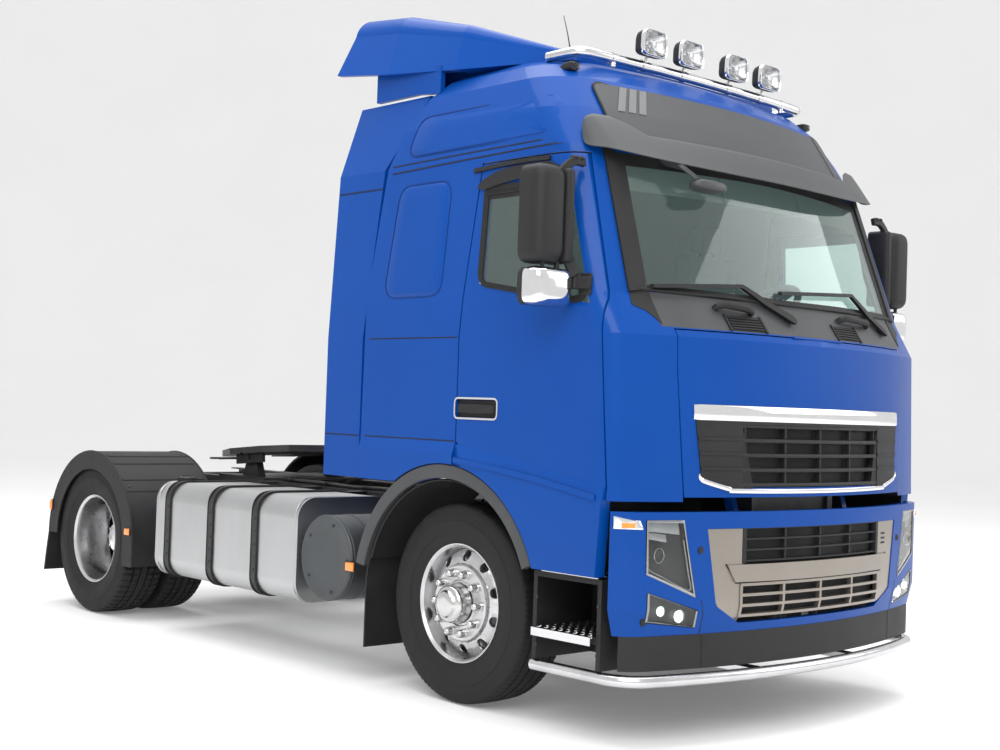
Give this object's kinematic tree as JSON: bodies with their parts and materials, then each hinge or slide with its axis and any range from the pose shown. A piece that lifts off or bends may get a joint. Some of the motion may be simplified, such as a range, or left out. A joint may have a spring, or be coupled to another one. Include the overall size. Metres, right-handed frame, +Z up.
{
  "type": "semi truck tractor unit",
  "caption": "Two-axle cab-over road tractor with tilting sleeper cab, opening doors and front lid, steered front wheels and a tilting coupling plate.",
  "frame": {"origin": "on the ground at the middle of the length and width", "axes": "+Z up; the front faces -Y; the driver's side is +X"},
  "size_m": [3.04, 5.8798, 3.6757],
  "materials": {
    "body_paint": "gloss",
    "chassis_paint": "satin",
    "cast": "rough",
    "dark_alloy": "satin",
    "tank_alloy": "brushed",
    "dark_steel": "satin",
    "silencer_steel": "satin",
    "black_plastic": "matt",
    "grey_plastic": "satin",
    "satin_plate": "satin",
    "lamp_glass": "clear",
    "red_lens": "gloss",
    "polished_tube": "polished",
    "bright_metal": "polished",
    "tinted_glass": "tinted",
    "interior_plastic": "matt",
    "seat_fabric": "woven",
    "wheel_alloy": "polished",
    "tyre_rubber": "matt"
  },
  "bodies": {
    "chassis": {"frame_rails": "chassis_paint", "frame_crossmembers": "chassis_paint", "engine_block": "cast", "radiator": "dark_alloy", "propshaft": "chassis_paint", "front_axle": "cast", "front_springs": "chassis_paint", "rear_axle": "cast", "rear_suspension": "chassis_paint", "fuel_tank": "tank_alloy", "tank_straps": "dark_steel", "silencer": "silencer_steel", "battery_and_tank_boxes": "black_plastic", "rear_fenders": "black_plastic", "steps": "black_plastic", "bumper": "body_paint", "bumper_grille": "satin_plate", "headlamps": "lamp_glass", "bumper_valance": "black_plastic", "underrun_tube": "polished_tube", "front_mudguards": "black_plastic", "tail_lamps": "red_lens", "fifth_wheel_base": "dark_steel", "cab_rest": "chassis_paint"},
    "cab": {"cab_shell": "body_paint", "windscreen": "tinted_glass", "cowl_panel": "grey_plastic", "header_panel": "grey_plastic", "sun_visor": "grey_plastic", "roof_fairing": "body_paint", "side_deflectors": "body_paint", "roof_bar": "polished_tube", "wipers": "black_plastic", "dashboard": "interior_plastic", "seats_and_bunk": "seat_fabric"},
    "front_flap": {"front_flap": "body_paint", "upper_grille": "bright_metal"},
    "door_right": {"door_right": "body_paint", "door_glass_right": "tinted_glass", "mirror_right": "grey_plastic"},
    "door_left": {"door_left": "body_paint", "door_glass_left": "tinted_glass", "mirror_left": "grey_plastic"},
    "knuckle_right": {"knuckle_right": "cast"},
    "knuckle_left": {"knuckle_left": "cast"},
    "tie_rod": {"tie_rod": "dark_steel"},
    "wheel_front_right": {"rim_front_right": "wheel_alloy", "tyre_front_right": "tyre_rubber"},
    "wheel_front_left": {"rim_front_left": "wheel_alloy", "tyre_front_left": "tyre_rubber"},
    "wheels_rear_right": {"rim_rear_right": "wheel_alloy", "tyres_rear_right": "tyre_rubber"},
    "wheels_rear_left": {"rim_rear_left": "wheel_alloy", "tyres_rear_left": "tyre_rubber"},
    "fifth_wheel_plate": {"fifth_wheel_plate": "dark_steel"}
  },
  "joints": [
    {"name": "cab_tilt", "type": "hinge", "parent": "chassis", "child": "cab", "pos_m": [0, -2.81, 1], "axis": [1, 0, 0], "range_deg": [0, 60]},
    {"name": "front_flap_hinge", "type": "hinge", "parent": "cab", "child": "front_flap", "pos_m": [0, -2.868, 1.884], "axis": [-1, 0, 0], "range_deg": [0, 75]},
    {"name": "door_right_hinge", "type": "hinge", "parent": "cab", "child": "door_right", "pos_m": [-1.247, -2.63, 1.9], "axis": [0, 0, 1], "range_deg": [0, 70]},
    {"name": "door_left_hinge", "type": "hinge", "parent": "cab", "child": "door_left", "pos_m": [1.247, -2.63, 1.9], "axis": [0, 0, -1], "range_deg": [0, 70]},
    {"name": "steer_right", "type": "hinge", "parent": "chassis", "child": "knuckle_right", "pos_m": [-0.88, -1.54, 0.507], "axis": [0, 0, 1], "range_deg": [-40, 40]},
    {"name": "steer_left", "type": "hinge", "parent": "chassis", "child": "knuckle_left", "pos_m": [0.88, -1.54, 0.507], "axis": [0, 0, 1], "range_deg": [-40, 40]},
    {"name": "tie_rod_swing", "type": "hinge", "parent": "knuckle_right", "child": "tie_rod", "pos_m": [-0.88, -1.34, 0.44], "axis": [0, 0, 1], "range_deg": [-40, 40]},
    {"name": "wheel_front_right_spin", "type": "hinge", "parent": "knuckle_right", "child": "wheel_front_right", "pos_m": [-0.994, -1.54, 0.507], "axis": [1, 0, 0], "continuous": true},
    {"name": "wheel_front_left_spin", "type": "hinge", "parent": "knuckle_left", "child": "wheel_front_left", "pos_m": [0.994, -1.54, 0.507], "axis": [1, 0, 0], "continuous": true},
    {"name": "wheels_rear_right_spin", "type": "hinge", "parent": "chassis", "child": "wheels_rear_right", "pos_m": [-0.921, 2.16, 0.507], "axis": [1, 0, 0], "continuous": true},
    {"name": "wheels_rear_left_spin", "type": "hinge", "parent": "chassis", "child": "wheels_rear_left", "pos_m": [0.921, 2.16, 0.507], "axis": [1, 0, 0], "continuous": true},
    {"name": "fifth_wheel_pitch", "type": "hinge", "parent": "chassis", "child": "fifth_wheel_plate", "pos_m": [0, 1.55, 1.105], "axis": [1, 0, 0], "range_deg": [-12, 12]}
  ],
  "couplings": [
    {"joint": "steer_left", "follows": "steer_right", "ratio": 1},
    {"joint": "tie_rod_swing", "follows": "steer_right", "ratio": -1}
  ]
}
